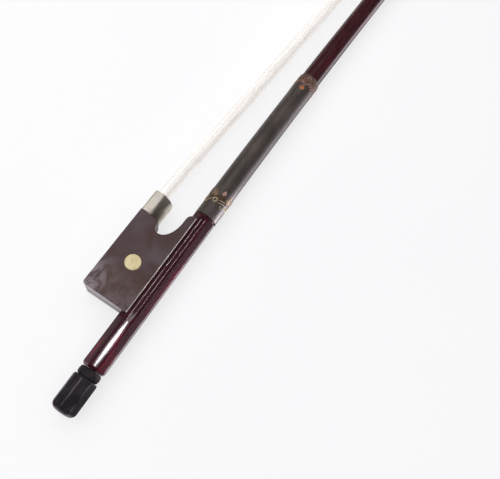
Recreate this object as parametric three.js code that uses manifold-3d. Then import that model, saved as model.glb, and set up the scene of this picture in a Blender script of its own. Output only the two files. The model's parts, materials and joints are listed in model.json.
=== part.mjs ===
// Violin bow, lying on its side, frog and screw button at the -X end, head at the +X end.
//
// Working frame, in millimetres: X runs along the straight handle from the stick's butt end towards
// the head, +Y points from the stick to the hair, and Z is the bow's own plane of symmetry (Z = 0).
// The last lines lift and centre the whole bow, so the exported origin is the bottom centre.

import * as THREE from 'three';
import * as BufferGeometryUtils from 'three/addons/utils/BufferGeometryUtils.js';
import Module from 'manifold-3d';

const wasm = await Module();
wasm.setup();

// ---------------------------------------------------------------- driving dimensions

const STICK_FLATS = 8.8; // across the flats of the octagonal handle
const STICK_ROUND = 8.6; // diameter where the grip begins
const STICK_TIP = 5.4; // diameter just behind the head
const OCTAGON_END = 67; // the facets stop here
const ROUND_START = 69; // and the stick is round from here
const TAPER_START = 110; // the taper begins under the grip
const HEAD_X = 697; // where the head grows out of the stick
const CAMBER_START = 80; // the handle is straight up to here
const CAMBER_LENGTH = 625; // length over which the camber is stated
const CAMBER_BEND = 49; // square term of the camber at full length
const CAMBER_EASE = 14; // cube term that eases it towards the head

const HEEL_X = 22; // back end of the frog, hair slack
const NOSE_X = 65.9; // front end of the frog, beside the stick
const HAIR_SIDE_Y = 20.84; // the frog's flat lower side
const CHEEK_Y = 2.1; // edge of the frog's cheeks on the stick
const FROG_HALF_HAIR = 6.45; // half thickness of the frog at its hair side
const FROG_HALF_CHEEK = 5.65; // half thickness of the frog at its cheeks

const FERRULE_X = 56.8; // back edge of the ferrule
const FERRULE_LENGTH = 9.3;
const FERRULE_HALF = 6.65; // half width of the ferrule, the widest piece
const FERRULE_WALL = 0.7;
const FERRULE_CROWN_Y = 13.0; // top of its arched side
const FERRULE_FLAT_Y = 20.9; // its flat side, over the hair

const EYE_X = 38.15;
const EYE_Y = 10.9;
const EYE_RADIUS = 3.05;
const EYE_THICKNESS = 1.2;

const EYELET_X = 40;
const EYELET_BLOCK = 3.4; // length of the eyelet's head along the stick
const TRAVEL_TIGHT = 7; // how far the screw draws the frog back
const TRAVEL_SLACK = 1.5; // how far it can still go forward
const SCREW_RADIUS = 1.4;
const SCREW_BACK = -13;
const SCREW_FRONT = 60;

const BUTTON_FLATS = 9.2;
const BUTTON_FRONT = -3.5; // front of the octagonal body
const BUTTON_BACK = -16.2; // where its end begins to round over
const BUTTON_TURN = 15; // degrees that its facets are turned from the stick's

const GRIP_START = 69.5;
const GRIP_END = 149.2;
const GRIP_THICKNESS = 0.4;

const HEAD_FACE = 20; // from the stick's axis to the wooden face under the plate
const LINER_THICKNESS = 0.4;
const PLATE_THICKNESS = 0.8;

const HAIR_WIDTH = 9.6;
const SEAM = 0.04; // space between glued faces and between the stick's lengths
const RUNNING_GAP = 0.1; // space round screws and pegs
const SLIDING_GAP = 0.15; // between the stick and the frog's metal lining

// ---------------------------------------------------------------- helpers

// A closed geometry as a manifold solid.
function solid(geometry) {
  geometry.deleteAttribute('normal');
  geometry.deleteAttribute('uv');
  const merged = BufferGeometryUtils.mergeVertices(geometry, 1e-4);
  return new wasm.Manifold(
    new wasm.Mesh({
      numProp: 3,
      vertProperties: new Float32Array(merged.attributes.position.array),
      triVerts: new Uint32Array(merged.index.array),
    }),
  );
}

// A manifold solid as a geometry again.
function geometryOf(manifold) {
  const mesh = manifold.getMesh();
  const geometry = new THREE.BufferGeometry();
  geometry.setAttribute('position', new THREE.BufferAttribute(mesh.vertProperties, 3));
  geometry.setIndex(new THREE.BufferAttribute(mesh.triVerts, 1));
  return geometry;
}

function extrude(shape, depth, curveSegments = 10) {
  return new THREE.ExtrudeGeometry(shape, { depth, bevelEnabled: false, curveSegments });
}

function outline(points) {
  return new THREE.Shape(points.map(([a, b]) => new THREE.Vector2(a, b)));
}

// An X-Y outline extruded evenly to both sides of the middle plane.
function sidePrism(shape, halfWidth, curveSegments) {
  return solid(extrude(shape, 2 * halfWidth, curveSegments).translate(0, 0, -halfWidth));
}

const ALONG_X = new THREE.Matrix4().makeBasis(
  new THREE.Vector3(0, 1, 0),
  new THREE.Vector3(0, 0, 1),
  new THREE.Vector3(1, 0, 0),
);
const ALONG_Y = new THREE.Matrix4().makeBasis(
  new THREE.Vector3(1, 0, 0),
  new THREE.Vector3(0, 0, 1),
  new THREE.Vector3(0, -1, 0),
);

// A Y-Z section extruded along X from one station to another.
function lengthPrism(shape, fromX, toX, curveSegments) {
  return solid(extrude(shape, toX - fromX, curveSegments).applyMatrix4(ALONG_X).translate(fromX, 0, 0));
}

// An X-Z plan extruded along Y from one level to another.
function levelPrism(shape, fromY, toY) {
  return solid(extrude(shape, toY - fromY).applyMatrix4(ALONG_Y).translate(0, toY, 0));
}

function block(fromX, toX, fromY, toY, halfWidth) {
  const box = new THREE.BoxGeometry(toX - fromX, toY - fromY, 2 * halfWidth);
  return solid(box.translate((fromX + toX) / 2, (fromY + toY) / 2, 0));
}

function rodAlongX(radius, fromX, toX, sides = 24) {
  const rod = new THREE.CylinderGeometry(radius, radius, toX - fromX, sides);
  return solid(rod.rotateZ(-Math.PI / 2).translate((fromX + toX) / 2, 0, 0));
}

function rodAlongY(radius, x, fromY, toY, sides = 20) {
  const rod = new THREE.CylinderGeometry(radius, radius, toY - fromY, sides);
  return solid(rod.translate(x, (fromY + toY) / 2, 0));
}

function rodAlongZ(radius, x, y, fromZ, toZ, sides = 24) {
  const rod = new THREE.CylinderGeometry(radius, radius, toZ - fromZ, sides);
  return solid(rod.rotateX(Math.PI / 2).translate(x, y, (fromZ + toZ) / 2));
}

const RING_POINTS = 24; // three for each facet, with one on every octagon corner
const FACET = Math.PI / 4;

// One ring of a lofted bar: a regular octagon of the given flats, a circle, or a mix of both.
function ring(x, centreY, flats, roundness) {
  const points = [];
  for (let i = 0; i < RING_POINTS; i += 1) {
    const angle = FACET / 2 + (i * 2 * Math.PI) / RING_POINTS;
    const fromFlat = Math.abs(((angle + FACET / 2) % FACET) - FACET / 2);
    const octagon = flats / 2 / Math.cos(fromFlat);
    const radius = octagon + (flats / 2 - octagon) * roundness;
    points.push([x, centreY + radius * Math.cos(angle), radius * Math.sin(angle)]);
  }
  return points;
}

// A closed bar through a list of rings, with a flat cap at both ends.
function loft(rings) {
  const positions = rings.flat(2);
  const indices = [];
  const capStart = rings.length * RING_POINTS;
  for (let r = 0; r + 1 < rings.length; r += 1) {
    for (let i = 0; i < RING_POINTS; i += 1) {
      const next = (i + 1) % RING_POINTS;
      const a = r * RING_POINTS + i;
      const b = r * RING_POINTS + next;
      indices.push(a, b, a + RING_POINTS, b, b + RING_POINTS, a + RING_POINTS);
    }
  }
  for (const cap of [0, rings.length - 1]) {
    const middle = [0, 1, 2].map((k) => rings[cap].reduce((sum, p) => sum + p[k], 0) / RING_POINTS);
    positions.push(...middle);
    const centre = capStart + (cap === 0 ? 0 : 1);
    for (let i = 0; i < RING_POINTS; i += 1) {
      const a = cap * RING_POINTS + i;
      const b = cap * RING_POINTS + ((i + 1) % RING_POINTS);
      indices.push(...(cap === 0 ? [centre, b, a] : [centre, a, b]));
    }
  }
  const geometry = new THREE.BufferGeometry();
  geometry.setAttribute('position', new THREE.BufferAttribute(new Float32Array(positions), 3));
  geometry.setIndex(indices);
  return solid(geometry);
}

const bow = new THREE.Group();

function addPiece(name, manifold, colour, roughness, metalness = 0) {
  const material = new THREE.MeshStandardMaterial({ color: colour, roughness, metalness });
  const mesh = new THREE.Mesh(geometryOf(manifold), material);
  mesh.name = name;
  bow.add(mesh);
}

// ---------------------------------------------------------------- stick

// Height of the stick's axis: straight in the handle, then bent away from the hair.
function axisY(x) {
  const t = Math.max(0, x - CAMBER_START) / CAMBER_LENGTH;
  return -(CAMBER_BEND * t ** 2 - CAMBER_EASE * t ** 3);
}

function stickDiameter(x) {
  if (x <= OCTAGON_END) return STICK_FLATS;
  const t = Math.max(0, x - TAPER_START) / (HEAD_X - TAPER_START);
  return STICK_ROUND - (STICK_ROUND - STICK_TIP) * t ** 1.5;
}

function stickRing(x, extra = 0, scale = 1) {
  return ring(x, axisY(x), (stickDiameter(x) + 2 * extra) * scale, x <= OCTAGON_END ? 0 : 1);
}

// The head in its own place: outline from the side, then narrowed by a section and a plan.
const HEAD_Y = axisY(HEAD_X);
const HEAD_ROOT = 15; // how far the head's outline reaches back along the stick
const HEAD_LENGTH = 28;
const HEAD_HEEL = 3.2; // back end of the head's face
const PLATE_HALF_BACK = 5.25;
const PLATE_HALF_BEAK = 1.9;

function headOutline() {
  const rootY = axisY(HEAD_X - HEAD_ROOT) - HEAD_Y;
  const shape = new THREE.Shape();
  shape.moveTo(-HEAD_ROOT, rootY - 2.5);
  shape.lineTo(1, -2.75);
  shape.bezierCurveTo(13, -3.9, 20.5, 3.5, HEAD_LENGTH, HEAD_FACE);
  shape.lineTo(HEAD_HEEL, HEAD_FACE);
  shape.bezierCurveTo(5.6, 11, 4, 3.6, -HEAD_ROOT, rootY + 2.5);
  shape.closePath();
  return shape;
}

function headPlan(inset) {
  return outline([
    [HEAD_HEEL, -PLATE_HALF_BACK + inset],
    [HEAD_LENGTH - 0.2, -PLATE_HALF_BEAK + inset],
    [HEAD_LENGTH - 0.2, PLATE_HALF_BEAK - inset],
    [HEAD_HEEL, PLATE_HALF_BACK - inset],
  ]);
}

function headBlank() {
  const profile = sidePrism(headOutline(), 6, 12);
  const section = lengthPrism(
    outline([
      [-4.6, -0.3],
      [-1.6, -2.3],
      [2.5, -2.75],
      [HEAD_FACE + 1, -5.35],
      [HEAD_FACE + 1, 5.35],
      [2.5, 2.75],
      [-1.6, 2.3],
      [-4.6, 0.3],
    ]),
    -HEAD_ROOT - 1,
    HEAD_LENGTH + 1,
  );
  const plan = levelPrism(
    outline([
      [-HEAD_ROOT - 1, -5.4],
      [HEAD_HEEL, -PLATE_HALF_BACK],
      [HEAD_LENGTH, -PLATE_HALF_BEAK],
      [HEAD_LENGTH, PLATE_HALF_BEAK],
      [HEAD_HEEL, PLATE_HALF_BACK],
      [-HEAD_ROOT - 1, 5.4],
    ]),
    -6,
    HEAD_FACE + 1,
  );
  return profile.intersect(section).intersect(plan).translate([HEAD_X, HEAD_Y, 0]);
}

const HEAD_MORTISE = { fromX: 5, toX: 14, floorY: 12.4, half: 3.2 };

function headMortise(spare) {
  const { fromX, toX, floorY, half } = HEAD_MORTISE;
  return block(
    HEAD_X + fromX - spare,
    HEAD_X + toX + spare,
    HEAD_Y + floorY,
    HEAD_Y + HEAD_FACE + 3,
    half + spare,
  );
}

function makeStick() {
  const rings = [
    stickRing(0, 0, 0.86),
    stickRing(0.9),
    stickRing(EYELET_X),
    stickRing(OCTAGON_END),
    stickRing(ROUND_START),
    stickRing(CAMBER_START),
  ];
  const steps = 40;
  for (let i = 1; i <= steps; i += 1) {
    rings.push(stickRing(CAMBER_START + ((HEAD_X - CAMBER_START) * i) / steps));
  }
  const screwBore = rodAlongX(SCREW_RADIUS + RUNNING_GAP, -1, SCREW_FRONT + 1);
  const half = EYELET_BLOCK / 2 + 0.4;
  const eyeletSlot = block(EYELET_X - half - TRAVEL_TIGHT, EYELET_X + half + TRAVEL_SLACK, -3.1, 6, 2.2);
  const wood = loft(rings).add(headBlank());
  return wood.subtract(screwBore).subtract(eyeletSlot).subtract(headMortise(0));
}

// The stick is cut into short, nearly straight lengths, so that collision can follow its camber.
const STICK_LENGTHS = {
  stick_handle: [-1, 74],
  stick_shaft_rear: [74, 226],
  stick_shaft_middle: [226, 378],
  stick_shaft_front: [378, 530],
  stick_shaft_tip: [530, 676],
  stick_head: [676, HEAD_X + HEAD_LENGTH + 1],
};

const wholeStick = makeStick();
for (const [name, [fromX, toX]] of Object.entries(STICK_LENGTHS)) {
  const length = block(fromX + SEAM / 2, toX - SEAM / 2, -60, 20, STICK_FLATS);
  addPiece(name, wholeStick.intersect(length), 0x431a20, 0.28);
}

// ---------------------------------------------------------------- head fittings

function headLayer(fromY, thickness, inset) {
  const layer = levelPrism(headPlan(inset), fromY, fromY + thickness);
  return layer.translate([HEAD_X, HEAD_Y, 0]).subtract(headMortise(0));
}

const PLATE_Y = HEAD_FACE + LINER_THICKNESS + 2 * SEAM;
addPiece('tip_liner', headLayer(HEAD_FACE + SEAM, LINER_THICKNESS, 0), 0x141210, 0.5);
addPiece('tip_plate', headLayer(PLATE_Y, PLATE_THICKNESS, 0.05), 0xe6dfcf, 0.35);

// A hair knot is a short drum across the bow, with a band of binding thread round its middle.
const KNOT_RADIUS = 1.3;
const BINDING_THICKNESS = 0.3;

function addKnot(prefix, x, y, half) {
  const drum = rodAlongZ(KNOT_RADIUS, x, y, -half, half);
  const band = rodAlongZ(KNOT_RADIUS + SEAM + BINDING_THICKNESS, x, y, -1, 1);
  const bandHole = rodAlongZ(KNOT_RADIUS + SEAM, x, y, -2, 2);
  addPiece(`${prefix}_hair_knot`, drum, 0xd9cfb8, 0.7);
  addPiece(`${prefix}_knot_thread`, band.subtract(bandHole), 0xb04030, 0.8);
}

const TIP_KNOT = [HEAD_X + 7.2, HEAD_Y + 14.15];
addKnot('tip', ...TIP_KNOT, HEAD_MORTISE.half - 0.25);

const tipPlug = block(
  HEAD_X + 9.4,
  HEAD_X + HEAD_MORTISE.toX - SEAM,
  HEAD_Y + HEAD_MORTISE.floorY + SEAM,
  HEAD_Y + PLATE_Y + 0.4,
  HEAD_MORTISE.half - SEAM,
);
addPiece('tip_plug', tipPlug, 0xcaa876, 0.75);

// ---------------------------------------------------------------- grip

function stickSleeve(fromX, toX, inner, outer) {
  const steps = 8;
  const stations = (spare) =>
    Array.from({ length: steps + 1 }, (_, i) => fromX - spare + ((toX - fromX + 2 * spare) * i) / steps);
  const outside = loft(stations(0).map((x) => stickRing(x, outer)));
  const inside = loft(stations(0.4).map((x) => stickRing(x, inner)));
  return outside.subtract(inside);
}

addPiece('grip_sleeve', stickSleeve(GRIP_START, GRIP_END, 0.03, GRIP_THICKNESS), 0x453f3c, 0.5);

// ---------------------------------------------------------------- frog

// Corner of an octagon whose flats lie at a given distance from the axis.
function facetCorner(distance, angle) {
  const radius = distance / Math.cos(FACET / 2);
  return [radius * Math.cos(angle), radius * Math.sin(angle)];
}

const CORNER_ANGLES = [1.5 * FACET, 0.5 * FACET, -0.5 * FACET, -1.5 * FACET];
const LINING_INNER = STICK_FLATS / 2 + SLIDING_GAP;
const LINING_OUTER = LINING_INNER + 0.35;

function frogOutline() {
  const tongueFront = FERRULE_X + FERRULE_LENGTH - 1.6;
  const shape = new THREE.Shape();
  shape.moveTo(HEEL_X, CHEEK_Y);
  shape.lineTo(HEEL_X, HAIR_SIDE_Y - 0.8);
  shape.quadraticCurveTo(HEEL_X, HAIR_SIDE_Y, HEEL_X + 0.8, HAIR_SIDE_Y);
  shape.lineTo(FERRULE_X - SEAM, HAIR_SIDE_Y);
  shape.lineTo(FERRULE_X - SEAM, TONGUE_TOP_Y);
  shape.lineTo(tongueFront, TONGUE_TOP_Y);
  shape.lineTo(tongueFront, FERRULE_CROWN_Y + FERRULE_WALL + SEAM);
  shape.lineTo(FERRULE_X - SEAM, FERRULE_CROWN_Y + FERRULE_WALL + SEAM);
  shape.lineTo(FERRULE_X - SEAM, FERRULE_CROWN_Y);
  shape.bezierCurveTo(54.4, 12.8, 52.4, 12.3, 52.4, 10.4);
  shape.bezierCurveTo(52.4, 7.4, 56.4, 5.15, 61.5, 5.1);
  shape.lineTo(63.3, 5.1);
  shape.quadraticCurveTo(65.2, 5, NOSE_X, 3);
  shape.lineTo(NOSE_X, CHEEK_Y);
  shape.closePath();
  return shape;
}

const TONGUE_TOP_Y = 16.4;

// The ferrule's section: flat over the hair, small round corners, arched towards the stick.
function ferruleSection(inset) {
  const half = FERRULE_HALF - inset;
  const flat = FERRULE_FLAT_Y - inset;
  const corner = 1.4 - inset;
  const springY = 17.4; // where the sides turn into the arch
  const shape = new THREE.Shape();
  shape.moveTo(flat, -half + corner);
  shape.lineTo(flat, half - corner);
  shape.quadraticCurveTo(flat, half, flat - corner, half);
  shape.lineTo(springY, half);
  shape.absellipse(springY, 0, springY - FERRULE_CROWN_Y - inset, half, Math.PI / 2, (3 * Math.PI) / 2);
  shape.lineTo(flat - corner, -half);
  shape.quadraticCurveTo(flat, -half, flat, -half + corner);
  return shape;
}

const SLIDE_FLOOR_Y = 18.85;
const SLIDE_BACK = 24;
const SLIDE_HALF_TOP = 4.6;
const SLIDE_HALF_FLOOR = 5;

// Dovetail section of the slide between two levels, and of its track in the frog.
function slideSection(fromY, toY, spare) {
  const depth = HAIR_SIDE_Y - SLIDE_FLOOR_Y;
  const halfAt = (y) =>
    SLIDE_HALF_TOP + ((HAIR_SIDE_Y - y) / depth) * (SLIDE_HALF_FLOOR - SLIDE_HALF_TOP) + spare;
  return outline([
    [fromY, -halfAt(fromY)],
    [toY, -halfAt(toY)],
    [toY, halfAt(toY)],
    [fromY, halfAt(fromY)],
  ]);
}

const FROG_MORTISE = { fromX: 43.5, toX: 54.4, floorY: 12.6, half: 4.9 };
const EYELET_STEM_RADIUS = 1.5;
const EYELET_STEM_END = 12;
const LINING_SCREWS_X = [28, 50];
const LINING_SCREW_RADIUS = 0.8;
const LINING_SCREW_END = 8;

function makeFrogBody() {
  const flanks = outline([
    [HAIR_SIDE_Y + 1, -FROG_HALF_HAIR],
    [HAIR_SIDE_Y + 1, FROG_HALF_HAIR],
    [CHEEK_Y - 1, FROG_HALF_CHEEK],
    [CHEEK_Y - 1, -FROG_HALF_CHEEK],
  ]);
  const channel = outline([
    [CHEEK_Y - 2, facetCorner(LINING_OUTER + SEAM, CORNER_ANGLES[0])[1]],
    ...CORNER_ANGLES.map((angle) => facetCorner(LINING_OUTER + SEAM, angle)),
    [CHEEK_Y - 2, facetCorner(LINING_OUTER + SEAM, CORNER_ANGLES[3])[1]],
  ]);
  const front = FERRULE_X + FERRULE_LENGTH + 1;
  const tongueSleeve = lengthPrism(ferruleSection(-4), FERRULE_X - SEAM, front).subtract(
    lengthPrism(ferruleSection(FERRULE_WALL + SEAM), FERRULE_X - 2, front + 1),
  );
  const aboveThroat = block(FERRULE_X - 1, front + 2, FERRULE_CROWN_Y - 1, HAIR_SIDE_Y + 5, 12);
  const { fromX, toX, floorY, half } = FROG_MORTISE;
  let body = sidePrism(frogOutline(), 8, 10);
  body = body.intersect(lengthPrism(flanks, HEEL_X - 1, NOSE_X + 1));
  body = body.subtract(lengthPrism(channel, HEEL_X - 1, NOSE_X + 1));
  body = body.subtract(tongueSleeve.intersect(aboveThroat));
  body = body.subtract(lengthPrism(slideSection(SLIDE_FLOOR_Y, HAIR_SIDE_Y + 0.5, SEAM), SLIDE_BACK, front));
  body = body.subtract(block(fromX, toX, floorY, HAIR_SIDE_Y, half));
  body = body.subtract(block(toX - 1, FERRULE_X + 1, TONGUE_TOP_Y, HAIR_SIDE_Y, half));
  body = body.subtract(rodAlongY(EYELET_STEM_RADIUS + RUNNING_GAP, EYELET_X, 0, EYELET_STEM_END + 0.3));
  for (const x of LINING_SCREWS_X) {
    body = body.subtract(rodAlongY(LINING_SCREW_RADIUS + RUNNING_GAP, x, 0, LINING_SCREW_END + 0.2));
  }
  for (const side of [-1, 1]) {
    const floorZ = side * (EYE_FACE_Z - EYE_THICKNESS - SEAM);
    const pocket = [floorZ, side * 9].sort((a, b) => a - b);
    body = body.subtract(rodAlongZ(EYE_RADIUS + 0.06, EYE_X, EYE_Y, ...pocket, 32));
  }
  return body;
}

// Height of the frog's flank at the middle of its pearl eye.
const EYE_FACE_Z =
  FROG_HALF_CHEEK +
  ((FROG_HALF_HAIR - FROG_HALF_CHEEK) * (EYE_Y - CHEEK_Y + 1)) / (HAIR_SIDE_Y - CHEEK_Y + 2);

addPiece('frog_body', makeFrogBody(), 0x4a3f41, 0.42);

for (const [name, side] of [['pearl_eye_near', 1], ['pearl_eye_far', -1]]) {
  const faces = [side * (EYE_FACE_Z - EYE_THICKNESS), side * EYE_FACE_Z].sort((a, b) => a - b);
  addPiece(name, rodAlongZ(EYE_RADIUS, EYE_X, EYE_Y, ...faces, 32), 0xcfc592, 0.25);
}

// Metal lining of the frog, bent round three facets of the stick.
function makeUnderslide() {
  const section = outline([
    ...CORNER_ANGLES.map((angle) => facetCorner(LINING_OUTER, angle)),
    ...CORNER_ANGLES.toReversed().map((angle) => facetCorner(LINING_INNER, angle)),
  ]);
  let lining = lengthPrism(section, HEEL_X + 0.1, NOSE_X - 0.1);
  lining = lining.subtract(rodAlongY(EYELET_STEM_RADIUS + RUNNING_GAP, EYELET_X, 0, 9));
  for (const x of LINING_SCREWS_X) {
    lining = lining.subtract(rodAlongY(LINING_SCREW_RADIUS + RUNNING_GAP, x, 0, 9));
  }
  return lining;
}

addPiece('underslide', makeUnderslide(), 0xc9c4b6, 0.3, 1);

LINING_SCREWS_X.forEach((x, i) => {
  const screw = rodAlongY(LINING_SCREW_RADIUS, x, LINING_INNER + 0.02, LINING_SCREW_END, 16);
  addPiece(`underslide_screw_${i + 1}`, screw, 0xbab4a4, 0.35, 1);
});

const ferruleEnd = FERRULE_X + FERRULE_LENGTH;
const ferruleHole = lengthPrism(ferruleSection(FERRULE_WALL), FERRULE_X - 1, ferruleEnd + 1, 14);
const ferrule = lengthPrism(ferruleSection(0), FERRULE_X, ferruleEnd, 14).subtract(ferruleHole);
addPiece('ferrule', ferrule, 0xd2ccba, 0.3, 1);

const ferruleWedge = outline([
  [FERRULE_X + 1.7, TONGUE_TOP_Y + SEAM],
  [ferruleEnd - 1.7, TONGUE_TOP_Y + SEAM],
  [ferruleEnd - 0.3, TONGUE_TOP_Y + 0.3],
  [ferruleEnd - 0.3, 17.55],
  [FERRULE_X + 1.7, 17.25],
]);
addPiece('ferrule_wedge', sidePrism(ferruleWedge, 4.8), 0xc9ab7c, 0.75);

const backingTop = 19.8;
const slideFront = FERRULE_X - 2 * SEAM;
const backing = slideSection(SLIDE_FLOOR_Y + SEAM, backingTop, -SEAM);
const pearl = slideSection(backingTop + SEAM, HAIR_SIDE_Y, -SEAM);
addPiece('slide_backing', lengthPrism(backing, SLIDE_BACK + SEAM, slideFront), 0x1c1714, 0.5);
addPiece('slide_pearl', lengthPrism(pearl, SLIDE_BACK + SEAM, slideFront), 0xd8d6c8, 0.2);

// Brass eyelet: a block that the screw runs through, on a stem fixed in the frog.
function makeEyelet() {
  const halfBlock = EYELET_BLOCK / 2;
  const head = block(EYELET_X - halfBlock, EYELET_X + halfBlock, -2.7, 3, 1.9);
  const stem = rodAlongY(EYELET_STEM_RADIUS, EYELET_X, 2.5, EYELET_STEM_END);
  const hole = rodAlongX(SCREW_RADIUS + RUNNING_GAP, EYELET_X - 4, EYELET_X + 4);
  return head.add(stem).subtract(hole);
}

addPiece('eyelet', makeEyelet(), 0xb9913f, 0.35, 1);

const FROG_KNOT = [50, 14.3];
addKnot('frog', ...FROG_KNOT, 4.6);

const frogPlug = block(
  FROG_MORTISE.fromX + SEAM,
  48.2,
  FROG_MORTISE.floorY + SEAM,
  SLIDE_FLOOR_Y - SEAM,
  FROG_MORTISE.half - SEAM,
);
addPiece('frog_plug', frogPlug, 0xcaa876, 0.75);

// ---------------------------------------------------------------- screw and button

const screwBody = rodAlongX(SCREW_RADIUS, SCREW_BACK, SCREW_FRONT - 8).add(
  rodAlongX(SCREW_RADIUS - 0.35, SCREW_FRONT - 9, SCREW_FRONT),
);
addPiece('screw', screwBody, 0x9a9a9a, 0.35, 1);

function makeButton() {
  const rounding = [
    [BUTTON_FRONT, 0.94],
    [BUTTON_FRONT - 0.5, 1],
    [BUTTON_BACK + 1.3, 1],
    [BUTTON_BACK + 0.5, 0.96],
    [BUTTON_BACK, 0.86],
    [BUTTON_BACK - 0.6, 0.66],
    [BUTTON_BACK - 0.9, 0.4],
  ];
  const body = loft(rounding.map(([x, scale]) => ring(x, 0, BUTTON_FLATS * scale, 0)).reverse());
  const bead = [
    [0, BUTTON_FRONT - 1],
    [3.7, BUTTON_FRONT - 1],
    [3.7, BUTTON_FRONT + 0.2],
    [4.15, BUTTON_FRONT + 0.7],
    [4.3, BUTTON_FRONT + 1.6],
    [4.15, BUTTON_FRONT + 2.5],
    [3.7, BUTTON_FRONT + 3.1],
    [3.5, -0.1],
    [0, -0.1],
  ].map(([radius, along]) => new THREE.Vector2(radius, along));
  const beadSolid = solid(new THREE.LatheGeometry(bead, 32).rotateZ(-Math.PI / 2));
  const screwSeat = rodAlongX(SCREW_RADIUS + SEAM * 2, SCREW_BACK - 0.3, 1);
  return body.rotate([BUTTON_TURN, 0, 0]).add(beadSolid).subtract(screwSeat);
}

addPiece('button', makeButton(), 0x353234, 0.4);

// ---------------------------------------------------------------- hair

// A ribbon seen from the side: a centre line with a half thickness at every point.
function ribbonOutline(points) {
  const vectors = points.map(([x, y]) => new THREE.Vector2(x, y));
  const edges = [[], []];
  vectors.forEach((point, i) => {
    const before = vectors[Math.max(0, i - 1)];
    const after = vectors[Math.min(vectors.length - 1, i + 1)];
    const across = after.clone().sub(before).normalize().rotateAround(new THREE.Vector2(), Math.PI / 2);
    edges[0].push(point.clone().addScaledVector(across, points[i][2]));
    edges[1].push(point.clone().addScaledVector(across, -points[i][2]));
  });
  return new THREE.Shape([...edges[0], ...edges[1].reverse()]);
}

const hairLine = [
  [50.3, 16.4, 0.55],
  [51.1, 17.15, 0.6],
  [52.9, 17.75, 0.6],
  [56.5, 18.05, 0.65],
  [60, 18.5, 0.8],
  [ferruleEnd, 18.7, 0.9],
  [HEAD_X + 3, HEAD_Y + 22.6, 0.9],
  [HEAD_X + 5.3, HEAD_Y + 22.2, 0.8],
  [HEAD_X + 6.7, HEAD_Y + 20.5, 0.6],
  [HEAD_X + 7.2, HEAD_Y + 18.5, 0.6],
  [HEAD_X + 7.2, HEAD_Y + 15.9, 0.6],
];
const hairRibbon = sidePrism(ribbonOutline(hairLine), HAIR_WIDTH / 2);
const hairAtTip = block(HEAD_X - 20, HEAD_X + 20, HEAD_Y, HEAD_Y + 30, HEAD_MORTISE.half - 0.2);
const hairBeforeTip = block(0, HEAD_X + 2, -60, 40, HAIR_WIDTH);
addPiece('hair_ribbon', hairRibbon.intersect(hairAtTip.add(hairBeforeTip)), 0xe2dccb, 0.7);

// ---------------------------------------------------------------- place of the whole bow

const bounds = new THREE.Box3().setFromObject(bow);
const middle = bounds.getCenter(new THREE.Vector3());
bow.position.set(-middle.x, -middle.y, -bounds.min.z);

export default bow;
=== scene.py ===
import json
import math
import random

import bpy
from bpy.props import FloatProperty, FloatVectorProperty, IntProperty, PointerProperty
from mathutils import Matrix, Vector


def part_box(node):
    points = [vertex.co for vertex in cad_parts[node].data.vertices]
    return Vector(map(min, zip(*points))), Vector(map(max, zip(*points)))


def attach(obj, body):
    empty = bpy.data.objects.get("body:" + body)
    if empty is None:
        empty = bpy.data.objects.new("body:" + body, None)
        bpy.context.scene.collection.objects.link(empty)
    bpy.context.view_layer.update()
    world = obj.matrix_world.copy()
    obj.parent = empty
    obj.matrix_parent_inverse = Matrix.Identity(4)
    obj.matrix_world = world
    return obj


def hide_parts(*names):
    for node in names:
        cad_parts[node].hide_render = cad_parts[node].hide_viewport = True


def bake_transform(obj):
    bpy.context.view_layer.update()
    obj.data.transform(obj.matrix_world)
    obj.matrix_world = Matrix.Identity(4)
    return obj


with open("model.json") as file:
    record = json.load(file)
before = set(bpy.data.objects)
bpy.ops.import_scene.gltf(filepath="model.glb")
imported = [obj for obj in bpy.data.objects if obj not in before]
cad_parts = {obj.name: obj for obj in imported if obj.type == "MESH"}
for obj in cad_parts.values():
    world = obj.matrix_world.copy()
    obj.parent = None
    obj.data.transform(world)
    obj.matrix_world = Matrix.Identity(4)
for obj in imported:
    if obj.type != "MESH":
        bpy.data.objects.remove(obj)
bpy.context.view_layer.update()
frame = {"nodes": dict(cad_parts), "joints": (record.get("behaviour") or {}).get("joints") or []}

bl_info = {
    "name": "Violin Bow",
    "version": (1, 0, 0),
    "blender": (4, 5, 0),
    "location": "3D View > Sidebar > Bow",
    "description": "Builds a violin bow round its packed mechanical model",
    "category": "Add Mesh",
}

# ------------------------------------------------------------------ sizes from the frame

MM = 0.001
SAME_POINT = 0.002 * MM  # vertices closer than this are one
JOINTS = {joint["name"]: joint for joint in frame["joints"]}
HANDLE = Vector(JOINTS["screw_turn"]["pos_m"])  # the axis at the stick's butt end
QUARTER = math.pi / 2
EIGHTH = math.pi / 8
BUTTON_TURN = math.radians(15)  # how far the button's facets are turned from the stick's


def place(along, across=0.0, up=0.0):
    """A point given in millimetres from the butt end: along the handle, towards the hair, upwards."""
    return HANDLE + Vector((along, across, up)) * MM


def span(node):
    """A CAD node's lowest and highest corner, in millimetres from the butt end of the handle."""
    low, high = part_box(node)
    return (low - HANDLE) / MM, (high - HANDLE) / MM


STICK_NODES = [name for name in frame["nodes"] if name.startswith("stick_")]
GRIP_LOW, GRIP_HIGH = span("grip_sleeve")
FROG_LOW, FROG_HIGH = span("frog_body")
FERRULE_LOW, FERRULE_HIGH = span("ferrule")
EYE_LOW, EYE_HIGH = span("pearl_eye_near")
BUTTON_LOW, BUTTON_HIGH = span("button")
PLATE_LOW, PLATE_HIGH = span("tip_plate")
LINING_LOW, LINING_HIGH = span("underslide")
SLIDE_LOW, SLIDE_HIGH = span("slide_pearl")
BACKING_LOW, BACKING_HIGH = span("slide_backing")
SCREW_LOW, SCREW_HIGH = span("screw")
EYELET_LOW, EYELET_HIGH = span("eyelet")
FROG_PLUG_LOW = span("frog_plug")[0]

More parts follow.
